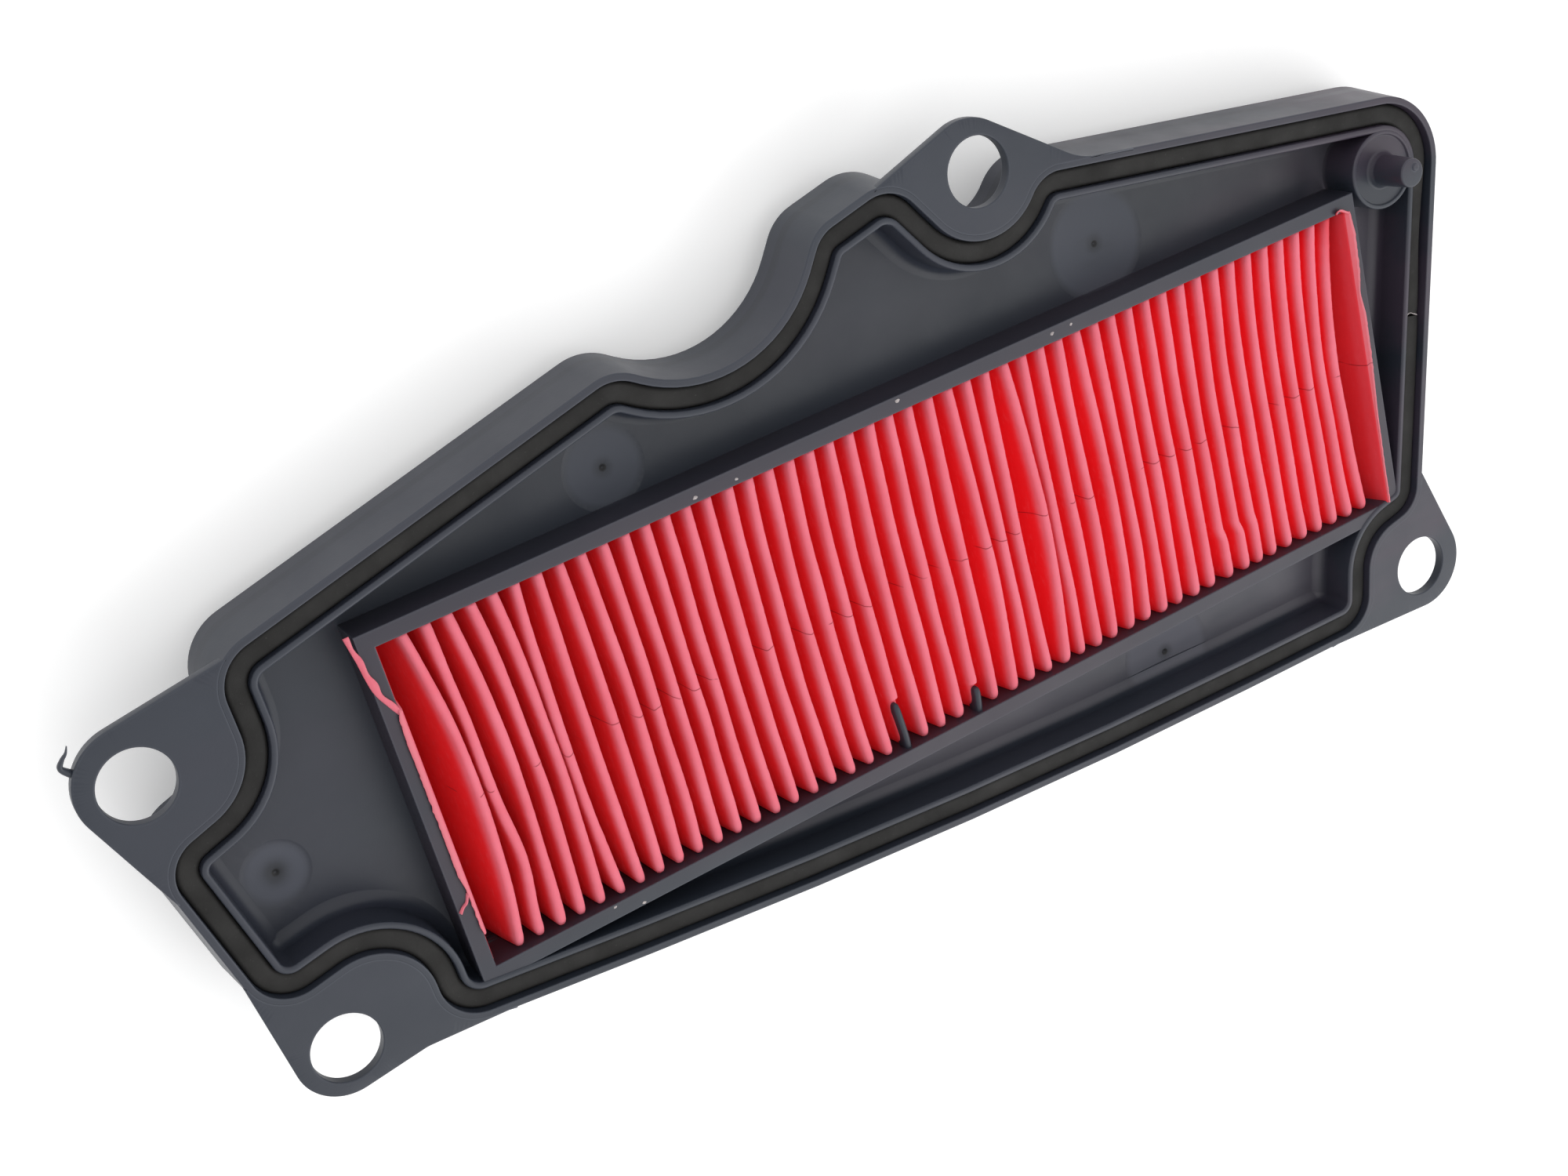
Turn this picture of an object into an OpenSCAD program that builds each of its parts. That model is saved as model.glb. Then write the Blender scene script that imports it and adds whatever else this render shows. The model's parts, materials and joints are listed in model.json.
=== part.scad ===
// Scooter air filter element: a tray-shaped plastic frame with four screw ears,
// a rectangular cassette standing in it, one pleated sheet of oiled paper and a seal cord.
// Plan positions are measured from the centre of the paper window, with +X along it.
// Heights below are measured from the sealing plane, the front face of rim and ears.

/* [Tub] */
// Height of the outer wall, from the sealing plane to its back edge
skirt_h = 13.9; // [12:0.1:18]
// How far the outer wall leans outward over that height
skirt_flare = 1.45; // [0.2:0.05:2]
// Width of the rim's front face
rim_w = 1.4; // [1.2:0.1:1.8]
// Width of the seal groove
groove_w = 4.3; // [3.8:0.1:4.5]
// Depth of the seal groove
groove_h = 5; // [3.5:0.1:5.5]
// Width of the ridge between groove and tray
ridge_w = 1.3; // [1:0.1:1.5]
// How far the ridge's top is below the sealing plane
ridge_drop = 0.3; // [0:0.1:1]
// Depth of the tray's floor
floor_h = 9.2; // [8:0.1:10]
// Thickness of the tray's floor and of the groove's bottom
floor_t = 1.8; // [1.2:0.1:2.2]

/* [Ears] */
// Thickness of the ears
ear_t = 2.3; // [1.8:0.1:3]
// Diameter of the screw holes in the ears
ear_hole_d = 13; // [9:0.5:14]

/* [Corner peg] */
// Diameter of the boss in the tray's corner
boss_d = 16; // [14:0.5:16.5]
// How far the boss's top is below the sealing plane
boss_drop = 0.2; // [0.1:0.1:2]
// Height of the peg above the sealing plane
peg_h = 8; // [4:0.5:12]
// Diameter of the peg at its foot
peg_foot_d = 6.6; // [6:0.1:8]
// Diameter of the peg at its tip
peg_tip_d = 5.8; // [4:0.1:6]

/* [Cassette] */
// Length of the window that holds the paper
window_l = 214.6; // [212:0.2:216]
// Width of the window that holds the paper
window_w = 65.4; // [64:0.2:66]
// Thickness of the cassette's walls
wall_t = 3.1; // [2:0.1:3.2]
// How far the cassette's top is below the sealing plane
collar_drop = 0.6; // [0.3:0.1:2]
// How far the cassette's back edge is below the sealing plane
cassette_h = 20; // [16:0.5:30]

/* [Paper] */
// Number of pleats
pleats = 49; // [30:1:55]
// Thickness of the paper
paper_t = 0.5; // [0.3:0.05:0.6]
// Width of each folded crest
crest_w = 1.6; // [1.4:0.1:2]
// How far the crests are below the cassette's top
crest_drop = 1; // [0.5:0.1:3]

/* [Seal] */
// How far the seal's top is below the sealing plane
seal_drop = 1.4; // [0.5:0.1:2.5]
// Clearance between the seal and each wall of its groove
seal_gap = 0.2; // [0.1:0.05:0.4]
// Width of the slit where the cord's two ends meet
seal_slit = 0.4; // [0.2:0.1:1]

/* [Hidden] */

// Outer edge of the rim, clockwise seen from the front: x, y and corner radius.
// A negative radius marks a corner where the edge turns inward, round an ear or a scoop.
TUB = [
    [-134.1, 41.7, 9.5],
    [-52.9, 61.3, 9.5],
    [-27.5, 44.0, -25],
    [-9.3, 70.4, 8.5],
    [8.5, 74.6, 9.5],
    [24.7, 50.2, -11.8],
    [38.2, 65.7, 8.8],
    [136.6, 49.3, 14.5],
    [115.9, -37.9, 8],
    [102.0, -40.6, -8.5],
    [98.1, -59.1, 9],
    [-8.3, -55.2, 1500],
    [-119.3, -40.5, 10],
    [-119.7, -17.9, -10.5],
    [-146.1, -22.8, 9],
    [-154.1, 13.8, 8.5],
    [-134.0, 20.1, -11.5]
];

// Screw holes in the ears: left upper, left lower, top, right lower
EAR_HOLES = [[-150.5, 27.7], [-136.4, -33.4], [25.6, 69.1], [113.5, -51.0]];

// Outline of each ear, in the same form. The square corners lie under the tub.
EARS = [
    [[-164.5, 36.4, 10.2], [-128, 41.9, 0], [-128, 20, 0], [-148, 0, 0], [-152.2, 5.2, 0]],
    [[-144.9, -43.4, 9.2], [-148.2, -14, 0], [-120, -20, 0], [-112, -38, 0],
        [-112, -41.9, 0], [-123.5, -40.9, -8]],
    [[25.9, 80.4, 10], [48.1, 64.1, -15], [60, 62, 0], [60, 58, 0], [20, 58, 0],
        [2, 66, 0], [2, 72.5, 0]],
    [[129.1, -62.2, 10.2], [92.8, -59.25, 0], [95, -50, 0], [110, -34, 0],
        [116, -26, 0], [117.9, -30.5, -5]]
];

// Shallow round marks in the tray's floor: x, y, radius
MARKS = [[-135.1, -1.5, 6.4], [-56.7, 42.3, 8.1], [53.4, 44.2, 11.2], [50.4, -45.8, 10.8]];
mark_step = 0.15;
mark_dish = 0.35;
mark_pit_r = 0.5;
mark_pit_h = 0.3;

boss_at = [118.9, 37.5];
// Small nub that stands on the peg's tip, beside its middle
nub_r = 0.7;
nub_h = 0.4;
nub_shift = [0.9, 0.9];

// Plastic tongues that reach in between the pleats from the lower wall: crest before, length
TONGUES = [[19, 10], [23, 5]];
tongue_t = 1;
tongue_h = 3.5;
tongue_drop = 1.4;

// Where the seal's ends meet, on the right-hand side
slit_at = [121.5, 5];

window_at = [0.2, -0.25];
// Clearance under the seal, and between the paper and the window's walls
floor_gap = 0.05;
paper_gap = 0.05;
// How far two joined shapes reach into each other, and a cutter past the face it cuts
lap = 1;
// How far a rounded corner's chords may stray from its arc
arc_error = 0.1;
least_radius = 0.3;
wide_fn = 96;
narrow_fn = 32;
skirt_t = 0.93 * rim_w;
skirt_bevel = 0.4;
cord_round = 0.7;

groove_edge = -rim_w;
ridge_edge = -rim_w - groove_w;
tray_edge = ridge_edge - ridge_w;
mid_ridge = ridge_edge - ridge_w / 2;
groove_back = -groove_h - floor_t;
floor_back = -floor_h - floor_t;

function unit(v) = v / norm(v);
function left(v) = [-v.y, v.x];
function turned(v, a) = [v.x * cos(a) - v.y * sin(a), v.x * sin(a) + v.y * cos(a)];

// Direction of the edge that leaves corner i
function edge_dir(c, i) =
    let (n = len(c), p = c[i % n], q = c[(i + 1) % n])
    unit([q.x - p.x, q.y - p.y]);

// Points of corner i once its outline has moved outward by d
function corner(c, i, d) =
    let (
        n = len(c),
        t = edge_dir(c, i + n - 1),
        u = edge_dir(c, i),
        m = unit(left(t) + left(u)),
        q = [c[i].x, c[i].y] + m * d / (m * left(t)),
        given = abs(c[i][2]),
        turn = atan2(cross(t, u), t * u),
        side = sign(turn),
        r = max(least_radius, given - side * d),
        start = q - t * r * tan(abs(turn) / 2),
        centre = start + left(t) * side * r,
        steps = ceil(abs(turn) / (2 * acos(1 - arc_error / max(given, arc_error))))
    )
    given == 0
        ? [q]
        : [for (k = [0 : steps]) centre - turned(left(t) * side * r, turn * k / steps)];

// A whole outline moved outward by d, with its corners rounded
function outline(c, d = 0) = [for (i = [0 : len(c) - 1]) each corner(c, i, d)];

all_points = concat(outline(TUB, skirt_flare), [for (ear = EARS) each outline(ear)]);
centre_x = (min([for (p = all_points) p.x]) + max([for (p = all_points) p.x])) / 2;
centre_y = (min([for (p = all_points) p.y]) + max([for (p = all_points) p.y])) / 2;

pack_l = window_l - 2 * paper_gap;
pack_w = window_w - 2 * paper_gap;
pitch = (pack_l - crest_w - paper_t) / (pleats + 1);
crest_z = -collar_drop - crest_drop;
valley_z = -cassette_h + paper_t;

// Puts the part's origin under the middle of its outline, level with its back
module placed() {
    translate([-centre_x, -centre_y, cassette_h])
        children();
}

// Closed wall that follows outline c all the way round. Its section is a list of corners
// [outward offset, height], anticlockwise as seen when the wall's outside is on the right.
module ring_wall(c, section) {
    rings = [for (s = section) [for (p = outline(c, s[0])) [p.x, p.y, s[1]]]];
    m = len(section);
    n = len(rings[0]);
    polyhedron(
        points = [for (ring = rings) each ring],
        faces = [
            for (j = [0 : m - 1])
                let (a = j * n, b = (j + 1) % m * n)
                for (i = [0 : n - 1])
                    let (k = (i + 1) % n)
                    [a + i, a + k, b + k, b + i]
        ]
    );
}

module window_rect(grow) {
    translate(window_at)
        square([window_l + 2 * grow, window_w + 2 * grow], center = true);
}

// Rectangular wall round the window. Where its corners would reach into the groove,
// the part above the groove's bottom stops inside the ridge.
module cassette_wall() {
    split_z = -groove_h - floor_t / 2;
    translate([0, 0, -cassette_h])
        linear_extrude(split_z + cassette_h)
            difference() {
                window_rect(wall_t);
                window_rect(0);
            }
    translate([0, 0, split_z])
        linear_extrude(-collar_drop - split_z)
            difference() {
                intersection() {
                    window_rect(wall_t);
                    polygon(outline(TUB, mid_ridge));
                }
                window_rect(0);
            }
}

// Ejector mark sunk into the tray's floor: a step, a shallow dish and a pit in its middle
module floor_mark(m) {
    top = -floor_h - mark_step;
    translate([m.x, m.y, top])
        cylinder(r = m[2], h = mark_step + lap, $fn = wide_fn);
    translate([m.x, m.y, top - mark_dish])
        cylinder(r1 = mark_pit_r, r2 = m[2], h = mark_dish, $fn = wide_fn);
    translate([m.x, m.y, top - mark_dish - mark_pit_h])
        cylinder(r = mark_pit_r, h = mark_pit_h + lap, $fn = narrow_fn);
}

// Level ring between two offsets of the tub's outline
module level_ring(outer, inner, z0, z1) {
    translate([0, 0, z0])
        linear_extrude(z1 - z0)
            difference() {
                polygon(outline(TUB, outer));
                polygon(outline(TUB, inner));
            }
}

module tray_floor() {
    difference() {
        translate([0, 0, floor_back])
            linear_extrude(floor_t)
                difference() {
                    polygon(outline(TUB, mid_ridge));
                    window_rect(wall_t / 2);
                }
        for (m = MARKS)
            floor_mark(m);
    }
}

// Front plate: the rim round the groove and the four ears, in one level piece
module rim_and_ears() {
    translate([0, 0, -ear_t])
        linear_extrude(ear_t)
            difference() {
                union() {
                    polygon(outline(TUB));
                    for (ear = EARS)
                        polygon(outline(ear));
                }
                polygon(outline(TUB, groove_edge));
                for (hole = EAR_HOLES)
                    translate(hole)
                        circle(d = ear_hole_d, $fn = wide_fn);
            }
}

// Outer wall behind the front plate. Its top edge is bevelled, and sits inside the plate.
module skirt() {
    ring_wall(TUB, [
        [skirt_flare, -skirt_h],
        [0, -ear_t],
        [-skirt_bevel, -ear_t / 2],
        [groove_edge + skirt_bevel, -ear_t / 2],
        [groove_edge, -ear_t],
        [groove_edge, groove_back],
        [skirt_flare - skirt_t, -skirt_h]
    ]);
}

module boss_and_peg() {
    foot_z = -floor_h - floor_t / 2;
    translate([boss_at.x, boss_at.y, foot_z])
        cylinder(d = boss_d, h = -boss_drop - foot_z, $fn = wide_fn);
    translate([boss_at.x, boss_at.y, -boss_drop - lap])
        cylinder(d1 = peg_foot_d, d2 = peg_tip_d, h = peg_h + boss_drop + lap, $fn = wide_fn);
    translate([boss_at.x + nub_shift.x, boss_at.y + nub_shift.y, peg_h - lap])
        cylinder(r = nub_r, h = nub_h + lap, $fn = narrow_fn);
}

// Tongue of plastic between crest t[0] and the next one
module tongue(t) {
    gap_x = (t[0] + 0.5 - (pleats - 1) / 2) * pitch;
    translate([
        window_at.x + gap_x - tongue_t / 2,
        window_at.y - window_w / 2 - lap,
        crest_z - tongue_drop - tongue_h
    ])
        cube([tongue_t, t[1] + lap, tongue_h]);
}

module frame() {
    color([0.29, 0.31, 0.34])
        placed() {
            // rim, ears, outer wall and groove
            union() {
                rim_and_ears();
                skirt();
                level_ring(groove_edge + skirt_t / 2, mid_ridge, groove_back, -groove_h);
            }
            // tray, cassette and peg
            union() {
                level_ring(ridge_edge, tray_edge, floor_back, -ridge_drop);
                tray_floor();
                cassette_wall();
                boss_and_peg();
                for (t = TONGUES)
                    tongue(t);
            }
        }
}

// Upper line of the folded sheet, left to right. The lower line is the same with the
// wide and narrow folds exchanged, which leaves the sheet equally thick along its flanks.
function fold_line(top_half, low_half, top_z, low_z) = [
    for (k = [0 : pleats])
        let (x = (k - pleats / 2) * pitch)
        each concat(
            [[x - low_half, low_z], [x + low_half, low_z]],
            k < pleats
                ? [[x + pitch / 2 - top_half, top_z], [x + pitch / 2 + top_half, top_z]]
                : []
        )
];

module pleated_paper() {
    wide = crest_w / 2;
    narrow = wide - paper_t;
    end_x = pack_l / 2;
    upper = fold_line(wide, narrow, crest_z, valley_z);
    lower = fold_line(narrow, wide, crest_z - paper_t, valley_z - paper_t);
    color([0.84, 0.16, 0.20])
        placed()
            translate([window_at.x, window_at.y + pack_w / 2, 0])
                rotate([90, 0, 0])
                    linear_extrude(pack_w)
                        polygon(concat(
                            [[-end_x, crest_z], [-end_x + paper_t, crest_z]],
                            upper,
                            [[end_x - paper_t, crest_z], [end_x, crest_z]],
                            [for (i = [len(lower) - 1 : -1 : 0]) lower[i]]
                        ));
}

module seal_cord() {
    top = -seal_drop;
    shoulder = top - cord_round;
    foot = -groove_h + floor_gap;
    outer = groove_edge - seal_gap;
    inner = ridge_edge + seal_gap;
    color([0.17, 0.17, 0.16])
        placed()
            difference() {
                ring_wall(TUB, [
                    [outer, foot],
                    [outer, shoulder],
                    [outer - cord_round, top],
                    [inner + cord_round, top],
                    [inner, shoulder],
                    [inner, foot]
                ]);
                translate([slit_at.x, slit_at.y, -groove_h / 2])
                    cube([4 * groove_w, seal_slit, 2 * groove_h], center = true);
            }
}

frame();
pleated_paper();
seal_cord();
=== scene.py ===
import json
import math

import bmesh
import bpy
import numpy as np
from mathutils import Matrix, Vector, noise
from mathutils.geometry import delaunay_2d_cdt


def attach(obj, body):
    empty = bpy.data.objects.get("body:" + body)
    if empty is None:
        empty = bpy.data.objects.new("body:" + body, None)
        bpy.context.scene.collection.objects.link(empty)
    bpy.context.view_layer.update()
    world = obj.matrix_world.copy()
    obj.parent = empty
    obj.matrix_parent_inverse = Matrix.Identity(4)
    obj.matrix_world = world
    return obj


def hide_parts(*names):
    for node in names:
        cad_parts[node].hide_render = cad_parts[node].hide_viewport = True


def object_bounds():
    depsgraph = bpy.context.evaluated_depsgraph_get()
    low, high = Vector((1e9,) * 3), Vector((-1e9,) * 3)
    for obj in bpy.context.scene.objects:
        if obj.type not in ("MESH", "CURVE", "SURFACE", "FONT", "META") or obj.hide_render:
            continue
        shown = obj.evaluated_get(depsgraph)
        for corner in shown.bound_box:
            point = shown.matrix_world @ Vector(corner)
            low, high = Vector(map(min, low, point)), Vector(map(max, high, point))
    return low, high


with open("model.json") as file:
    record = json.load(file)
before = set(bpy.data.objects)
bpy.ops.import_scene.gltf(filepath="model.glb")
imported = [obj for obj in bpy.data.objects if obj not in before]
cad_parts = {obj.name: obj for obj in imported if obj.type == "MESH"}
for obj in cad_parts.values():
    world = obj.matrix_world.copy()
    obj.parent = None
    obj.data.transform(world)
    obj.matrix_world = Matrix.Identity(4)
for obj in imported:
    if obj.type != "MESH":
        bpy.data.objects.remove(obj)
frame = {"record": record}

cad_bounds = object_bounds()

MM = 0.001

# ---------------------------------------------------------------- shared frame
# Shapes are written in millimetres from the window's centre, with height 0 at the
# sealing face. The CAD box and the sealing face's mount put that in the CAD frame.
WINDOW_OFFSET = (0.2, -0.25)
PLAN_CENTRE = (-12.7914, 9.16403)      # middle of the whole element's plan
mounts = {m["name"]: m for m in frame["record"]["mounts"]}
ORIGIN = Vector((
    (cad_bounds[0].x + cad_bounds[1].x) / 2 - PLAN_CENTRE[0] * MM,
    (cad_bounds[0].y + cad_bounds[1].y) / 2 - PLAN_CENTRE[1] * MM,
    mounts["sealing_face"]["pos_m"][2],
))

# Outer edge of the rim, clockwise from the front: x, y, corner radius (negative: turns inward)
TUB = [
    (-134.1, 41.7, 9.5), (-52.9, 61.3, 9.5), (-27.5, 44.0, -25), (-9.3, 70.4, 8.5),
    (8.5, 74.6, 9.5), (24.7, 50.2, -11.8), (38.2, 65.7, 8.8), (136.6, 49.3, 14.5),
    (115.9, -37.9, 8), (102.0, -40.6, -8.5), (98.1, -59.1, 9), (-8.3, -55.2, 1500),
    (-119.3, -40.5, 10), (-119.7, -17.9, -10.5), (-146.1, -22.8, 9), (-154.1, 13.8, 8.5),
    (-134.0, 20.1, -11.5),
]
EARS = {
    "ear_left_upper": [(-164.5, 36.4, 10.2), (-128, 41.9, 0), (-128, 20, 0), (-148, 0, 0),
                       (-152.2, 5.2, 0)],
    "ear_left_lower": [(-144.9, -43.4, 9.2), (-148.2, -14, 0), (-120, -20, 0), (-106, -36, 0),
                       (-106, -42.26, 0), (-123.5, -40.9, -8)],
    "ear_top": [(25.9, 80.4, 10), (48.1, 64.1, -15), (60, 62, 0), (60, 58, 0), (20, 58, 0),
                (2, 66, 0), (2, 72.5, 0)],
    "ear_right": [(129.1, -62.2, 10.2), (86, -58.66, 0), (86, -50, 0), (110, -34, 0),
                  (116, -26, 0), (117.9, -30.5, -5)],
}
EAR_T = 2.3
HOLE_EDGE = 0.3          # rounding of the ears' holes
RIM_EDGE = 0.35          # rounding along the rim's and ears' outer edges
# Distances outward from the rim's outer edge
GROOVE_EDGE = -1.4
RIDGE_EDGE = -5.7
TRAY_EDGE = -7.0
GROOVE_Z = -5.0
FLOOR_Z = -9.2
FLOOR_T = 1.8
COVE = 2.4
FLAT_EDGE = TRAY_EDGE - COVE - 0.2       # where the tray's floor is flat
GROOVE_DRAFT = 0.15
SKIRT_Z = -13.9
SKIRT_T = 1.3
FLARE = 1.45
RIDGE_Z = -0.3
COLLAR_Z = -0.6
CASSETTE_Z = -20.0
WALL_T = 3.1
CASSETTE_EDGE = 0.22     # rounding along the cassette's top
SHOULDER_Z = FLOOR_Z - 1.0
WIN_X, WIN_Y = 107.3, 32.7
MARKS = [(-135.1, -1.5, 6.4), (-56.7, 42.3, 8.1), (53.4, 44.2, 11.2), (50.4, -45.8, 10.8)]
BOSS = (118.9, 37.5)
PEG_TOP = 8.0
NUB_TOP = 8.35
SEAL_HALF = 2.05
SEAL_TOP = -1.35
SEAL_JOINT = (121.8, 5.0)
SEAL_SLIT = 0.25
SEAL_FRAY = [(120.4, 4.3), (121.6, 5.0), (122.6, 4.6), (123.6, 3.9)]
CREST_Z = -1.7
GLOW = 0.060             # strength of the light that comes through the paper from behind
TONGUES = {20: 10.5, 24: 5.5}      # crest that it runs over: reach from the wall
SPECKS = [(-45, 33.5, 0.35), (-36.5, 33.5, 0.25), (-83, -33.5, 0.25), (-77.5, -35.5, 0.3),
          (-1.5, 34.6, 0.35), (34, 34.2, 0.3), (38.5, 34.4, 0.25)]


# ---------------------------------------------------------------- mesh helpers
def unit(v):
    return v / np.linalg.norm(v)


def left(v):
    return np.array((-v[1], v[0]))


def turned(v, a):
    c, s = math.cos(a), math.sin(a)
    return np.array((v[0] * c - v[1] * s, v[0] * s + v[1] * c))


def outline(table, d=0.0, step=math.radians(5)):
    """Points of an outline moved outward by d, its corners rounded."""
    points = []
    n = len(table)
    at = [np.array(c[:2], float) for c in table]
    for i, (_, _, given) in enumerate(table):
        t = unit(at[i] - at[i - 1])
        u = unit(at[(i + 1) % n] - at[i])
        m = unit(left(t) + left(u))
        q = at[i] + m * d / m.dot(left(t))
        if given == 0:
            points.append(q)
            continue
        turn = math.atan2(t[0] * u[1] - t[1] * u[0], t.dot(u))
        side = math.copysign(1, turn)
        r = max(0.25, abs(given) - side * d)
        start = q - t * r * math.tan(abs(turn) / 2)
        centre = start + left(t) * side * r
        steps = max(4, math.ceil(abs(turn) / step))
        points += [centre - turned(left(t) * side * r, turn * k / steps)
                   for k in range(steps + 1)]
    return np.array(points)


def rounded_section(section, arc=4):
    """A polyline (a, b, radius) with each corner replaced by an arc."""
    out = []
    for i, (a, b, r) in enumerate(section):
        p = np.array((a, b), float)
        if r == 0 or i in (0, len(section) - 1):
            out.append(p)
            continue
        before = unit(np.array(section[i - 1][:2], float) - p)
        after = unit(np.array(section[i + 1][:2], float) - p)
        half = math.acos(max(-1, min(1, before.dot(after)))) / 2
        reach = r / math.tan(half)
        centre = p + unit(before + after) * r / math.sin(half)
        a0 = p + before * reach - centre
        a1 = p + after * reach - centre
        swing = math.atan2(a0[0] * a1[1] - a0[1] * a1[0], a0.dot(a1))
        out += [centre + turned(a0, swing * k / arc) for k in range(arc + 1)]
    return out


class Builder:
    """Collects vertices and faces in millimetres and turns them into one mesh object."""

    def __init__(self):
        self.verts = []
        self.faces = []

    def add(self, points):
        start = len(self.verts)
        self.verts += [tuple(float(c) for c in p) for p in points]
        return list(range(start, len(self.verts)))

    def strip(self, a, b, closed=True):
        n = len(a)
        for i in range(n if closed else n - 1):
            k = (i + 1) % n
            self.faces.append((a[i], a[k], b[k], b[i]))

    def loft(self, rings, closed=True):
        rows = [self.add(r) for r in rings]
        for a, b in zip(rows, rows[1:]):
            self.strip(a, b, closed)
        return rows

    def cap(self, ring):
        self.faces.append(tuple(ring))

    def region(self, loops, inside, height, up=True, extra=()):
        """Triangulated flat region bounded by loops; height(x, y) lifts each vertex."""
        points, edges = [], []
        for loop in loops:
            s = len(points)
            points += [Vector((float(p[0]), float(p[1]))) for p in loop]
            edges += [(s + i, s + (i + 1) % len(loop)) for i in range(len(loop))]
        points += [Vector((float(p[0]), float(p[1]))) for p in extra]
        co, _, faces, _, _, _ = delaunay_2d_cdt(points, edges, [], 0, 1e-5)
        co = np.array([(p.x, p.y) for p in co])
        z = height(co[:, 0], co[:, 1])
        ids = self.add(np.column_stack((co, z)))
        for f in faces:
            mid = co[list(f)].mean(0)
            if not inside(mid):
                continue
            a, b, c = (co[i] for i in f[:3])
            area = (b[0] - a[0]) * (c[1] - a[1]) - (b[1] - a[1]) * (c[0] - a[0])
            f = f if (area > 0) == up else f[::-1]
            self.faces.append(tuple(ids[i] for i in f))

    def make(self, name, material, weld=1e-4, sharp=40, replaces=()):
        mesh = bpy.data.meshes.new(name)
        co = [ORIGIN + Vector(v) * MM for v in self.verts]
        mesh.from_pydata(co, [], self.faces)
        obj = bpy.data.objects.new(name, mesh)
        bpy.context.scene.collection.objects.link(obj)
        clean(mesh, weld * MM)
        mesh.shade_smooth()
        mesh.set_sharp_from_angle(angle=math.radians(sharp))
        mesh.materials.append(material)
        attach(obj, "root")
        for node in replaces:
            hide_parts(node)
        return obj


def clean(mesh, distance):
    bm = bmesh.new()
    bm.from_mesh(mesh)
    bmesh.ops.remove_doubles(bm, verts=bm.verts, dist=distance)
    bmesh.ops.dissolve_degenerate(bm, dist=distance / 10, edges=bm.edges)
    bmesh.ops.recalc_face_normals(bm, faces=bm.faces)
    bm.to_mesh(mesh)
    bm.free()


def weighted(obj):
    mod = obj.modifiers.new("even_normals", "WEIGHTED_NORMAL")
    mod.keep_sharp = True
    mod.weight = 50
    return obj


def inside_loop(loop):
    """Point-in-polygon test for a closed loop."""
    loop = np.asarray(loop)
    x0, y0 = loop[:, 0], loop[:, 1]
    x1, y1 = np.roll(x0, -1), np.roll(y0, -1)

    def test(p):
        crosses = (y0 > p[1]) != (y1 > p[1])
        with np.errstate(divide="ignore", invalid="ignore"):
            at = x0 + (p[1] - y0) * (x1 - x0) / (y1 - y0)
        return bool(np.count_nonzero(crosses & (p[0] < at)) % 2)
    return test


def circle(x, y, r, n=64):
    a = np.arange(n) * 2 * math.pi / n
    return np.column_stack((x + r * np.cos(a), y + r * np.sin(a)))


def rectangle(grow):
    x, y = WINDOW_OFFSET
    return [(x - WIN_X - grow, y - WIN_Y - grow), (x + WIN_X + grow, y - WIN_Y - grow),
            (x + WIN_X + grow, y + WIN_Y + grow), (x - WIN_X - grow, y + WIN_Y + grow)]


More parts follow.
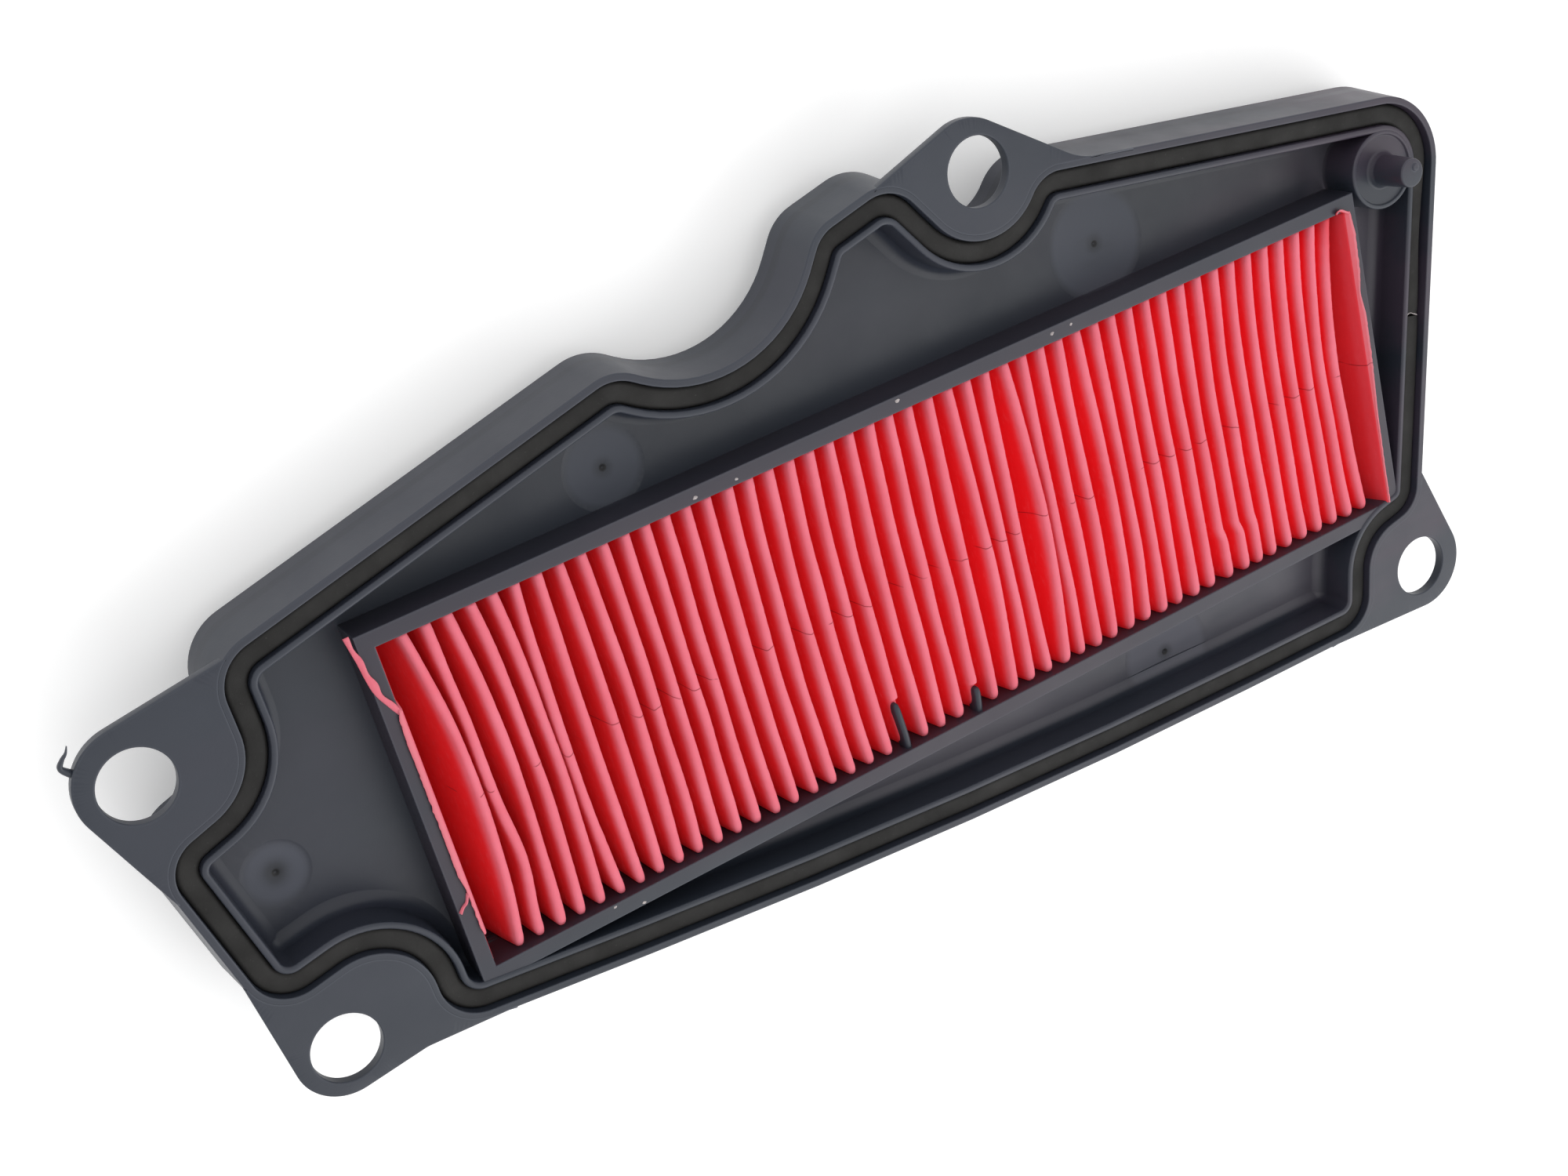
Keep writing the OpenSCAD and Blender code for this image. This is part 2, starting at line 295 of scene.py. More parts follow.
# ---------------------------------------------------------------- node materials
class Nodes:
    """Short way to write a node tree."""

    def __init__(self, name):
        self.mat = bpy.data.materials.new(name)
        self.mat.use_nodes = True
        self.tree = self.mat.node_tree
        self.tree.nodes.clear()
        self.out = self.new("ShaderNodeOutputMaterial")
        self.coords = self.new("ShaderNodeTexCoord").outputs["Object"]

    def new(self, kind, **values):
        node = self.tree.nodes.new(kind)
        for key, value in values.items():
            setattr(node, key, value)
        return node

    def put(self, socket, value):
        if isinstance(value, bpy.types.NodeSocket):
            self.tree.links.new(value, socket)
        else:
            socket.default_value = value

    def flat_coords(self):
        """Object coordinates with the height left out."""
        flat = self.new("ShaderNodeVectorMath", operation="MULTIPLY")
        self.put(flat.inputs[0], self.coords)
        flat.inputs[1].default_value = (1, 1, 0)
        return flat.outputs["Vector"]

    def noise(self, scale, detail=4, rough=0.5, stretch=(1, 1, 1), seed=0.0):
        mapping = self.new("ShaderNodeMapping")
        self.put(mapping.inputs["Vector"], self.coords)
        mapping.inputs["Scale"].default_value = stretch
        mapping.inputs["Location"].default_value = (seed, seed * 0.7, seed * 1.3)
        node = self.new("ShaderNodeTexNoise")
        self.put(node.inputs["Vector"], mapping.outputs["Vector"])
        self.put(node.inputs["Scale"], scale)
        self.put(node.inputs["Detail"], detail)
        self.put(node.inputs["Roughness"], rough)
        return node.outputs["Fac"]

    def ramp(self, fac, stops):
        node = self.new("ShaderNodeValToRGB")
        self.put(node.inputs["Fac"], fac)
        elements = node.color_ramp.elements
        while len(elements) < len(stops):
            elements.new(0.5)
        for element, (at, value) in zip(elements, stops):
            element.position = at
            value = (value,) * 3 if isinstance(value, (int, float)) else value
            element.color = (*value[:3], 1)
        return node.outputs["Color"]

    def mix(self, fac, a, b, mode="MIX"):
        node = self.new("ShaderNodeMix", data_type="RGBA", blend_type=mode)
        self.put(node.inputs[0], fac)
        self.put(node.inputs[6], a if not isinstance(a, tuple) else (*a, 1))
        self.put(node.inputs[7], b if not isinstance(b, tuple) else (*b, 1))
        return node.outputs[2]

    def math(self, op, a, b=0.5):
        node = self.new("ShaderNodeMath", operation=op)
        self.put(node.inputs[0], a)
        self.put(node.inputs[1], b)
        return node.outputs[0]

    def between(self, value, low, high):
        node = self.new("ShaderNodeMapRange")
        node.interpolation_type = "SMOOTHSTEP"
        self.put(node.inputs["Value"], value)
        self.put(node.inputs["From Min"], low)
        self.put(node.inputs["From Max"], high)
        return node.outputs["Result"]

    def bump(self, height, strength, distance, normal=None):
        node = self.new("ShaderNodeBump")
        self.put(node.inputs["Height"], height)
        self.put(node.inputs["Strength"], strength)
        self.put(node.inputs["Distance"], distance)
        if normal is not None:
            self.put(node.inputs["Normal"], normal)
        return node.outputs["Normal"]

    def surface(self, **values):
        node = self.new("ShaderNodeBsdfPrincipled")
        for key, value in values.items():
            self.put(node.inputs[key.replace("_", " ")], value)
        self.put(self.out.inputs["Surface"], node.outputs[0])
        return node

    def rounded_edges(self, radius):
        """1 on rounded edges, 0 on flats: the true normal set against a softened one."""
        soft = self.new("ShaderNodeBevel", samples=4)
        soft.inputs["Radius"].default_value = radius
        geometry = self.new("ShaderNodeNewGeometry")
        dot = self.new("ShaderNodeVectorMath", operation="DOT_PRODUCT")
        self.put(dot.inputs[0], soft.outputs["Normal"])
        self.put(dot.inputs[1], geometry.outputs["Normal"])
        return self.between(self.math("SUBTRACT", 1.0, dot.outputs["Value"]), 0.0, 0.12)


PLASTIC_TONES = [(0.3, (0.017, 0.022, 0.032)), (0.7, (0.025, 0.030, 0.043))]
PURPLE_ON_TUB = (0.040, 0.031, 0.047)
PURPLE_ON_CASSETTE = (0.031, 0.025, 0.037)
# painted light for the floor strips between the cassette and the ridge
PAINTED_LIGHT_BY_WALLS = (0.092, 0.086, 0.105)
# painted shade for the floor along the upper wall
UPPER_FLOOR_SHADE = (0.011, 0.013, 0.019)
MARK_LIFT = (0.034, 0.036, 0.043)      # how much paler an ejector mark is than the floor
MARK_CENTRE_DARK = (0.012, 0.014, 0.018)
# painted shade round each mark's pit
MARK_SHADE_ROUND_PIT = (0.014, 0.015, 0.018)
# painted shade inside each mark's pit
MARK_SHADE_IN_PIT = (0.008, 0.008, 0.009)
# painted highlight for rounded edges
EDGE_HIGHLIGHT = (0.10, 0.11, 0.135)


def plastic_material(name, purple_everywhere):
    """Satin plastic. Purple flow areas lie on the tray's right, or all over the cassette."""
    n = Nodes(name)
    place = n.new("ShaderNodeSeparateXYZ")
    n.put(place.inputs[0], n.coords)
    cloudy = n.noise(18, 5, 0.6)
    flow = n.noise(26, 4, 0.55, stretch=(0.35, 1.5, 1), seed=3.1)
    grain = n.noise(2600, 2, 0.5, seed=1.7)
    base = n.ramp(cloudy, PLASTIC_TONES)
    if purple_everywhere:
        area = n.between(flow, 0.25, 0.6)
    else:
        on_right = n.between(place.outputs["X"], ORIGIN.x + 0.02, ORIGIN.x + 0.13)
        area = n.math("MULTIPLY", n.between(flow, 0.40, 0.62), n.math("ADD", on_right, 0.15))
    base = n.mix(area, base, PURPLE_ON_CASSETTE if purple_everywhere else PURPLE_ON_TUB)
    on_floor = n.between(place.outputs["Z"], ORIGIN.z + (FLOOR_Z + 1.2) * MM,
                         ORIGIN.z + (FLOOR_Z + 0.1) * MM)
    above_back = n.between(place.outputs["Z"], ORIGIN.z + (FLOOR_Z - 1.5) * MM,
                           ORIGIN.z + (FLOOR_Z - 1.2) * MM)
    on_floor = n.math("MULTIPLY", on_floor, above_back)
    # painted light: the floor strips below and right of the cassette are paler, in patches of the
    # flow noise
    low = n.between(place.outputs["Y"], ORIGIN.y - 0.031, ORIGIN.y - 0.038)
    far_right = n.between(place.outputs["X"], ORIGIN.x + 0.104, ORIGIN.x + 0.110)
    light_by_walls = n.math("MULTIPLY", on_floor, n.math("MAXIMUM", low, far_right))
    light_by_walls = n.math("MULTIPLY", light_by_walls, n.between(flow, 0.2, 0.6))
    base = n.mix(light_by_walls, base, PAINTED_LIGHT_BY_WALLS)
    # painted shade: the floor along the upper wall is darker
    upper = n.between(place.outputs["Y"], ORIGIN.y + 0.034, ORIGIN.y + 0.046)
    upper = n.math("MULTIPLY", upper, on_floor)
    base = n.mix(n.math("MULTIPLY", upper, 0.4), base, UPPER_FLOOR_SHADE)
    rough = n.ramp(n.noise(60, 4, 0.6, seed=5.0), [(0.3, 0.36), (0.7, 0.48)])
    for x, y, r in MARKS:
        away = n.new("ShaderNodeVectorMath", operation="DISTANCE")
        n.put(away.inputs[0], n.flat_coords())
        away.inputs[1].default_value = (ORIGIN.x + x * MM, ORIGIN.y + y * MM, 0)
        disc = n.between(away.outputs["Value"], (r + 0.2) * MM, (r - 2.0) * MM)
        disc = n.math("MULTIPLY", disc, on_floor)
        base = n.mix(disc, base, MARK_LIFT, "ADD")
        rough = n.mix(disc, rough, (0.60, 0.60, 0.60))
        # each mark is darker towards its centre, in patches of the flow noise
        centre_dark = n.between(away.outputs["Value"], 0.6 * r * MM, 0.1 * r * MM)
        centre_dark = n.math("MULTIPLY", centre_dark, n.between(flow, 0.42, 0.60))
        centre_dark = n.math("MULTIPLY", centre_dark, on_floor)
        base = n.mix(n.math("MULTIPLY", centre_dark, 0.7), base, MARK_CENTRE_DARK)
        # painted shade: darker round the pit at the mark's centre
        shade_round_pit = n.math("MULTIPLY", n.between(away.outputs["Value"], 2.6 * MM, 0.6 * MM), on_floor)
        base = n.mix(n.math("MULTIPLY", shade_round_pit, 0.5), base, MARK_SHADE_ROUND_PIT)
        # painted shade: the pit itself is nearly black
        pit = n.math("MULTIPLY", n.between(away.outputs["Value"], 0.9 * MM, 0.5 * MM), on_floor)
        base = n.mix(pit, base, MARK_SHADE_IN_PIT)
    # painted highlight: rounded edges are paler
    base = n.mix(n.math("MULTIPLY", n.rounded_edges(0.0006), 0.45), base, EDGE_HIGHLIGHT)
    normal = n.bump(n.noise(110, 3, 0.5, stretch=(1, 1, 0.3), seed=8.0), 0.10, 0.0006)
    normal = n.bump(grain, 0.16, 0.00006, normal)
    n.surface(Base_Color=base, Roughness=rough, Normal=normal, Specular_IOR_Level=0.42)
    return n.mat


def seal_material():
    n = Nodes("seal_rubber")
    mottle = n.noise(90, 4, 0.6)
    base = n.ramp(mottle, [(0.3, (0.012, 0.0115, 0.011)), (0.72, (0.020, 0.019, 0.018))])
    cells = n.noise(1500, 3, 0.7, seed=2.0)
    base = n.mix(n.between(cells, 0.62, 0.78), base, (0.04, 0.04, 0.038))
    rough = n.ramp(n.noise(200, 3, 0.5, seed=4.0), [(0.3, 0.62), (0.7, 0.8)])
    normal = n.bump(cells, 0.35, 0.00012)
    n.surface(Base_Color=base, Roughness=rough, Normal=normal, Specular_IOR_Level=0.3)
    return n.mat


# painted light: deep red for the shaded valleys, pale pink for the lit crests
PAPER_DEEP = [(0.3, (0.90, 0.006, 0.014)), (0.7, (0.94, 0.012, 0.022))]
PAPER_CREST_LIGHT = [(0.3, (0.86, 0.195, 0.26)), (0.7, (0.90, 0.25, 0.33))]
PAPER_FIBRE = (0.93, 0.24, 0.30)
# painted shade for the sheet's right end panel
PAPER_END_SHADE = (0.68, 0.035, 0.05)
PAPER_LIP = (0.88, 0.28, 0.34)
# painted shade for the hairline creases
PAPER_CREASE_SHADE = (0.16, 0.004, 0.008)
PAPER_GLOW = (1.0, 0.010, 0.030, 1)
PAPER_THROUGH = (0.92, 0.02, 0.035, 1)


def paper_material():
    n = Nodes("oiled_paper")
    place = n.new("ShaderNodeSeparateXYZ")
    n.put(place.inputs[0], n.coords)
    crest_m = ORIGIN.z + CREST_Z * MM
    # painted light: the folds are pale pink near their crests and deep red down in the valleys;
    # the pale part reaches less far down towards the right
    rightward = n.between(place.outputs["X"], ORIGIN.x - 0.04, ORIGIN.x + 0.09)
    crest_light_from = n.math("ADD", n.math("MULTIPLY", rightward, 0.0014), crest_m - 0.0041)
    crest_light = n.math("POWER", n.between(place.outputs["Z"], crest_light_from, crest_m - 0.0002), 2.0)
    # painted shade on the sheet's right end: less crest light there
    right_end = n.between(place.outputs["X"], ORIGIN.x + 0.101, ORIGIN.x + 0.106)
    crest_light = n.math("MULTIPLY", crest_light, n.math("SUBTRACT", 1.0, n.math("MULTIPLY", right_end, 0.75)))
    blotch = n.noise(70, 5, 0.65)
    fibre = n.noise(900, 4, 0.7, stretch=(1, 0.35, 1), seed=2.4)
    deep = n.ramp(blotch, PAPER_DEEP)
    pale = n.ramp(blotch, PAPER_CREST_LIGHT)
    base = n.mix(crest_light, deep, pale)
    base = n.mix(n.math("MULTIPLY", n.between(fibre, 0.5, 0.8), 0.25), base, PAPER_FIBRE)
    # painted shade: the right end panel is darker red
    base = n.mix(n.math("MULTIPLY", right_end, 0.6), base, PAPER_END_SHADE)
    lip = n.between(place.outputs["Z"], ORIGIN.z + (COLLAR_Z + 0.40) * MM,
                    ORIGIN.z + (COLLAR_Z + 0.70) * MM)
    base = n.mix(lip, base, PAPER_LIP)
    # painted shade of hairline creases that cross the pleats near the middle, broken and slightly
    # stepped
    step = n.noise(150, 2, 0.6, stretch=(1, 0, 0), seed=0.3)
    crease_y = n.math("MULTIPLY_ADD", step, 0.0060)
    crease_y.node.inputs[2].default_value = ORIGIN.y - 0.0040
    off = n.math("ABSOLUTE", n.math("SUBTRACT", place.outputs["Y"], crease_y))
    line = n.math("SUBTRACT", 1.0, n.between(off, 0.00004, 0.00016))
    broken = n.between(n.noise(260, 2, 0.5, stretch=(1, 0, 0), seed=4.4), 0.47, 0.52)
    crease_shade = n.math("MULTIPLY", line, broken)
    base = n.mix(n.math("MULTIPLY", crease_shade, 0.75), base, PAPER_CREASE_SHADE)
    rough = n.ramp(n.noise(300, 3, 0.6, seed=6.0), [(0.3, 0.62), (0.7, 0.85)])
    normal = n.bump(n.noise(420, 4, 0.6, seed=9.0), 0.28, 0.0003)
    normal = n.bump(fibre, 0.35, 0.00009, normal)
    sheet = n.surface(Base_Color=base, Roughness=rough, Normal=normal, Specular_IOR_Level=0.25,
                      Sheen_Weight=0.12, Sheen_Roughness=0.6, Sheen_Tint=(1.0, 0.55, 0.6, 1))
    # light that reaches the folds from the sheet's open back, more of it towards the right
    open_back = n.math("MULTIPLY", n.between(place.outputs["X"], ORIGIN.x - 0.100,
                                             ORIGIN.x + 0.060),
                       n.math("SUBTRACT", 1.0, right_end))
    n.put(sheet.inputs["Emission Color"], PAPER_GLOW)
    n.put(sheet.inputs["Emission Strength"],
          n.math("MULTIPLY", n.math("SUBTRACT", 1.05, crest_light),
                 n.math("MULTIPLY", n.math("ADD", open_back, 0.17), GLOW)))
    through = n.new("ShaderNodeBsdfTranslucent")
    n.put(through.inputs["Color"], PAPER_THROUGH)
    n.put(through.inputs["Normal"], normal)
    both = n.new("ShaderNodeMixShader")
    both.inputs[0].default_value = 0.30
    n.put(both.inputs[1], sheet.outputs[0])
    n.put(both.inputs[2], through.outputs[0])
    n.put(n.out.inputs["Surface"], both.outputs[0])
    n.mat.cycles.emission_sampling = "NONE"
    return n.mat


def fluff_material():
    n = Nodes("pale_fluff")
    base = n.ramp(n.noise(1200, 3, 0.6), [(0.3, (0.30, 0.27, 0.27)), (0.7, (0.52, 0.47, 0.46))])
    n.surface(Base_Color=base, Roughness=0.85, Normal=n.bump(n.noise(2500, 2), 0.4, 0.0001))
    return n.mat


# ---------------------------------------------------------------- frame moulding
PLASTIC = plastic_material("moulded_plastic", False)
CASSETTE_PLASTIC = plastic_material("moulded_plastic_cassette", True)
SEAL = seal_material()
PAPER = paper_material()
FLUFF = fluff_material()


def mark_height(x, y):
    """Floor height with the ejector marks' step, dish and pit."""
    z = np.full(np.shape(x), FLOOR_Z)
    for mx, my, r in MARKS:
        rho = np.hypot(x - mx, y - my)
        step = np.clip((r - rho) / 0.25, 0, 1) * 0.12
        dish = 0.38 * np.clip(1 - (rho / r) ** 2, 0, 1)
        pit = 0.40 * np.clip(1 - rho / 0.7, 0, 1)
        z = z - step - dish - pit
    return z


def tub_wall():
    """Skirt, rim, seal groove, ridge and the cove that leads into the tray's floor."""
    section = rounded_section([
        (FLAT_EDGE, FLOOR_Z, 0),
        (TRAY_EDGE - 0.1, FLOOR_Z, COVE),
        (TRAY_EDGE, RIDGE_Z, 0.5),
        (RIDGE_EDGE, RIDGE_Z, 0.5),
        (RIDGE_EDGE + GROOVE_DRAFT, GROOVE_Z, 0.5),
        (GROOVE_EDGE - GROOVE_DRAFT, GROOVE_Z, 0.5),
        (GROOVE_EDGE, 0, 0.22),
        (0, 0, RIM_EDGE),
        (FLARE, SKIRT_Z, 0.35),
        (FLARE - SKIRT_T, SKIRT_Z, 0.35),
        (-0.7, GROOVE_Z - FLOOR_T, 0.8),
        (RIDGE_EDGE, GROOVE_Z - FLOOR_T, 0.5),
        (RIDGE_EDGE + 0.1, FLOOR_Z - FLOOR_T, 0.3),
        (FLAT_EDGE, FLOOR_Z - FLOOR_T, 0),
    ])
    b = Builder()
    b.loft([[(x, y, z) for x, y in outline(TUB, d)] for d, z in section])
    edge = outline(TUB, FLAT_EDGE)
    window = rectangle(WALL_T / 2)
    in_edge, in_window = inside_loop(edge), inside_loop(window)
    keep = lambda p: in_edge(p) and not in_window(p)
    rings = [circle(x, y, r - k, 72) for x, y, r in MARKS for k in (0, 0.25)]
    extra = [p for x, y, r in MARKS for q in (0.85, 0.7, 0.55, 0.4, 0.25)
             for p in circle(x, y, r * q, 40) if keep(p)]
    extra += [p for x, y, r in MARKS for q in (0.7, 0.35, 0.01)
              for p in circle(x, y, q, 16) if keep(p)]
    b.region([edge, window] + rings, keep, mark_height, True, extra)
    b.region([edge, window], keep, lambda x, y: np.full(np.shape(x), FLOOR_Z - FLOOR_T), False)
    return weighted(b.make("tub_with_groove", PLASTIC, weld=2e-3,
                           replaces=["frame"]))


def clipped_loop(loop, keep_outside_of):
    """The part of a closed loop that lies outside another, joined along the other's points."""
    other = np.asarray(keep_outside_of)
    test = inside_loop(other)
    loop = np.asarray(loop)
    fine = []
    for i in range(len(loop)):
        p, q = loop[i], loop[(i + 1) % len(loop)]
        count = max(1, int(np.linalg.norm(q - p) / 0.25))
        fine += [p + (q - p) * k / count for k in range(count)]
    fine = np.array(fine)
    out = np.array([not test(p) for p in fine])
    starts = [i for i in range(len(fine)) if out[i] and not out[i - 1]]
    runs = [(next(k for k in range(len(fine)) if not out[(i + k) % len(fine)]), i)
            for i in starts]
    stop, start = max(runs)
    fine = np.roll(fine, -start, 0)
    kept = fine[:stop]
    first = int(np.argmin(np.hypot(*(other - kept[-1]).T)))
    last = int(np.argmin(np.hypot(*(other - kept[0]).T)))
    n = len(other)
    back = [other[(first - k) % n] for k in range((first - last) % n + 1)]
    forth = [other[(first + k) % n] for k in range((last - first) % n + 1)]
    joined = min((back, forth), key=lambda path: sum(
        np.linalg.norm(a - b) for a, b in zip(path, path[1:])))
    return kept, np.array(joined)


def inset(loop, amounts):
    """Moves each point of a closed loop inward by its own amount (clockwise loops)."""
    n = len(loop)
    out = []
    for i in range(n):
        t = unit(loop[i] - loop[i - 1])
        u = unit(loop[(i + 1) % n] - loop[i])
        m = left(t) + left(u)
        m = unit(m) if np.linalg.norm(m) > 1e-6 else left(t)
        out.append(loop[i] - m * amounts[i] / max(0.4, m.dot(left(t))))
    return np.array(out)


def plate(b, loop, soft, hole, top, bottom, edge):
    """Flat plate with rounded outer edges where soft is 1, and a rounded hole."""
    arcs = [(math.sin(a), 1 - math.cos(a)) for a in np.radians([0, 30, 60, 90])]
    rings = []
    for u, v in arcs:        # from the flat top outward and down
        rings.append([(x, y, top - edge * v * w)
                      for (x, y), w in zip(inset(loop, edge * (1 - u) * soft), soft)])
    for u, v in arcs[::-1]:
        rings.append([(x, y, bottom + edge * v * w)
                      for (x, y), w in zip(inset(loop, edge * (1 - u) * soft), soft)])
    b.loft(rings)
    hx, hy, hr = hole
    holes = []
    for u, v in arcs:
        holes.append([(x, y, top - HOLE_EDGE * v)
                      for x, y in circle(hx, hy, hr + HOLE_EDGE * (1 - u), 96)])
    for u, v in arcs[::-1]:
        holes.append([(x, y, bottom + HOLE_EDGE * v)
                      for x, y in circle(hx, hy, hr + HOLE_EDGE * (1 - u), 96)])
    b.loft(holes)
    for z, up, ring, bore in ((top, True, rings[0], holes[0]),
                              (bottom, False, rings[-1], holes[-1])):
        flat = [p[:2] for p in ring]
        bore = [p[:2] for p in bore]
        in_ring, in_bore = inside_loop(flat), inside_loop(bore)
        b.region([flat, bore], lambda p: in_ring(p) and not in_bore(p),
                 lambda x, y, z=z: np.full(np.shape(x), z), up)


def ear(name, table):
    rim = outline(TUB, -RIM_EDGE)
    kept, joined = clipped_loop(outline(table), rim)
    loop = np.vstack((kept, joined))
    soft = np.array([1.0] * len(kept) + [0.0] * len(joined))
    mount = mounts["ear_hole_" + name[4:]]
    x, y = ((mount["pos_m"][i] - ORIGIN[i]) / MM for i in (0, 1))
    b = Builder()
    plate(b, loop, soft, (x, y, mount["dims"]["r_mm"]), 0.0, -EAR_T, RIM_EDGE)
    return weighted(b.make(name, PLASTIC, weld=2e-3))


def cassette():
    """Wall round the paper. Its corners stop inside the ridge where they meet it."""
    ridge = outline(TUB, RIDGE_EDGE - 0.65)
    outer = rectangle(WALL_T)
    (x0, y0), (x1, y1) = outer[0], outer[2]

    def cut(loop, axis, value, keep_above):
        out = []
        for i in range(len(loop)):
            p, q = loop[i - 1], loop[i]
            p_in, q_in = ((v[axis] >= value) == keep_above for v in (p, q))
            if p_in != q_in:
                s = (value - p[axis]) / (q[axis] - p[axis])
                out.append(p + (q - p) * s)
            if q_in:
                out.append(q)
        return out

    loop = [np.array(p, float) for p in ridge]
    for axis, value, above in ((0, x0, True), (0, x1, False), (1, y0, True), (1, y1, False)):
        loop = cut(loop, axis, value, above)
    loop = np.array(loop)
    window = np.array(rectangle(0.0), float)[::-1]
    b = Builder()
    arcs = [(math.sin(a), 1 - math.cos(a)) for a in np.radians([0, 30, 60, 90])]
    tops = []
    for ring, sign in ((loop, 1), (window, -1)):
        amounts = np.ones(len(ring)) * CASSETTE_EDGE
        rows = [[(x, y, COLLAR_Z - CASSETTE_EDGE * v)
                 for x, y in inset(ring, sign * (1 - u) * amounts)] for u, v in arcs]
        foot = FLOOR_Z - 1.3 if sign == 1 else CASSETTE_Z
        rows.append([(x, y, foot) for x, y in ring])
        b.loft(rows)
        tops.append([p[:2] for p in rows[0]])
    in_outer, in_window = inside_loop(tops[0]), inside_loop(tops[1])
    b.region(tops, lambda p: in_outer(p) and not in_window(p),
             lambda x, y: np.full(np.shape(x), COLLAR_Z), True)
    # behind the tray the wall is a full rectangle
    low = np.array(outer, float)[::-1]
    b.loft([[(x, y, z) for x, y in low] for z in (SHOULDER_Z, CASSETTE_Z)])
    in_low, in_hole = inside_loop(low), inside_loop(window)
    for z in (SHOULDER_Z, CASSETTE_Z):
        b.region([low, window], lambda p: in_low(p) and not in_hole(p),
                 lambda x, y, z=z: np.full(np.shape(x), z), z == SHOULDER_Z)
    return weighted(b.make("cassette_walls", CASSETTE_PLASTIC, weld=2e-3))


def lathe(b, x, y, section, n=72):
    rings = [[(x + r * math.cos(a), y + r * math.sin(a), z)
              for a in np.arange(n) * 2 * math.pi / n] for r, z in section]
    rows = b.loft(rings)
    b.cap(rows[-1])


def boss_and_peg():
    b = Builder()
    x, y = BOSS
    lathe(b, x, y, rounded_section([
        (8.0, FLOOR_Z - 0.5, 0), (8.0, -0.2, 0.35), (7.2, -0.2, 0.2), (7.0, -0.7, 0.2),
        (3.7, -0.7, 0.6), (3.2, 0.4, 0.4), (2.9, PEG_TOP, 0.35), (0.3, PEG_TOP, 0)]))
    lathe(b, x + 0.9, y + 0.9, rounded_section([
        (0.9, PEG_TOP - 0.2, 0), (0.7, NUB_TOP, 0.2), (0.1, NUB_TOP, 0)]), 24)
    return weighted(b.make("boss_and_peg", PLASTIC, weld=1e-3))


# ---------------------------------------------------------------- seal cord
def seal_cord():
    middle = (GROOVE_EDGE + RIDGE_EDGE) / 2
    path = outline(TUB, middle, math.radians(4))
    fine = []
    for i in range(len(path)):
        p, q = path[i], path[(i + 1) % len(path)]
        count = max(1, round(np.linalg.norm(q - p) / 1.5))
        fine += [p + (q - p) * k / count for k in range(count)]
    fine = np.array(fine)
    start = int(np.argmin(np.hypot(*(fine - np.array(SEAL_JOINT)).T)))
    fine = np.roll(fine, -start, 0)
    fine = np.vstack((fine, fine[:1]))
    step = np.linalg.norm(np.diff(fine, axis=0), axis=1)
    along = np.concatenate(([0], np.cumsum(step)))
    total = along[-1]
    stations = np.linspace(SEAL_SLIT, total - SEAL_SLIT, int(total / 1.2))
    centre = np.column_stack([np.interp(stations, along, fine[:, k]) for k in (0, 1)])
    tangent = np.gradient(centre, axis=0)
    tangent /= np.linalg.norm(tangent, axis=1)[:, None]
    normal = np.column_stack((-tangent[:, 1], tangent[:, 0]))
    section = rounded_section([(SEAL_HALF, GROOVE_Z + 0.1, 0), (SEAL_HALF, SEAL_TOP, 0.9),
                               (-SEAL_HALF, SEAL_TOP, 0.9), (-SEAL_HALF, GROOVE_Z + 0.1, 0)], 5)
    rings = []
    for s, c, m in zip(stations, centre, normal):
        wave = 0.06 * noise.noise(Vector((s * 0.05, 3.0, 0)))
        narrow = 1 + 0.02 * noise.noise(Vector((s * 0.11, 9.0, 0)))
        lift = 0.12 * noise.noise(Vector((s * 0.03, 0, 5.0)))
        # above the joint the cord leans off the rim and shows a wedge of the groove
        squeeze = 1.15 * math.exp(-((total - s - 17) / 12) ** 2)
        tuck = 0.25 * math.exp(-min(s, total - s) / 0.8)
        ring = []
        for a, z in section:
            outward = (a + SEAL_HALF) / (2 * SEAL_HALF)
            shift = a * (narrow - tuck * 0.15) + wave - squeeze * outward
            if z > -3:
                z += lift - tuck + 0.25 * squeeze * outward
            ring.append((c[0] + m[0] * shift, c[1] + m[1] * shift, z))
        rings.append(ring)
    b = Builder()
    rows = [b.add(r) for r in rings]
    for p, q in zip(rows, rows[1:]):
        b.strip(p, q, closed=True)
    b.cap(rows[0])
    b.cap(rows[-1][::-1])
    return b.make("seal_cord", SEAL, sharp=60, replaces=["seal_cord"])


# ---------------------------------------------------------------- pleated paper
PLEATS = 49
VALLEY_Z = -19.3
PITCH = 4.29
FIRST_CREST = -102.05
FOLD_R = 0.55
# How far crests stray from even spacing, in mm: halfway along, at the lower and upper walls
BOWS = [(0, 3.1), (1, 1.2), (2, 2.1), (4, 1.3), (5, -0.8), (7.5, 0.8), (10, 0.2), (13, -0.9),
        (16, -1.3), (20, -1.1), (25, -0.1), (26, 1.3), (28, -0.2), (29, 2.1), (30, 0.3),
        (32, 0.3), (33, 1.3), (36, -0.1), (42, -1.2), (46, -1.9), (48, -3.3)]
LOW_LEAN = [(0, 0.6), (4, 0.3), (9, -0.3), (25, -0.6), (28, -0.1), (32, -0.8), (39, -0.9),
            (48, -1.6)]
HIGH_LEAN = [(0, 0), (10, 0), (14, -0.3), (20, 0), (28, 0.7), (43, 0.7), (48, 0.4)]
PINCHED_CREST = 1        # leans against its left neighbour in one place only
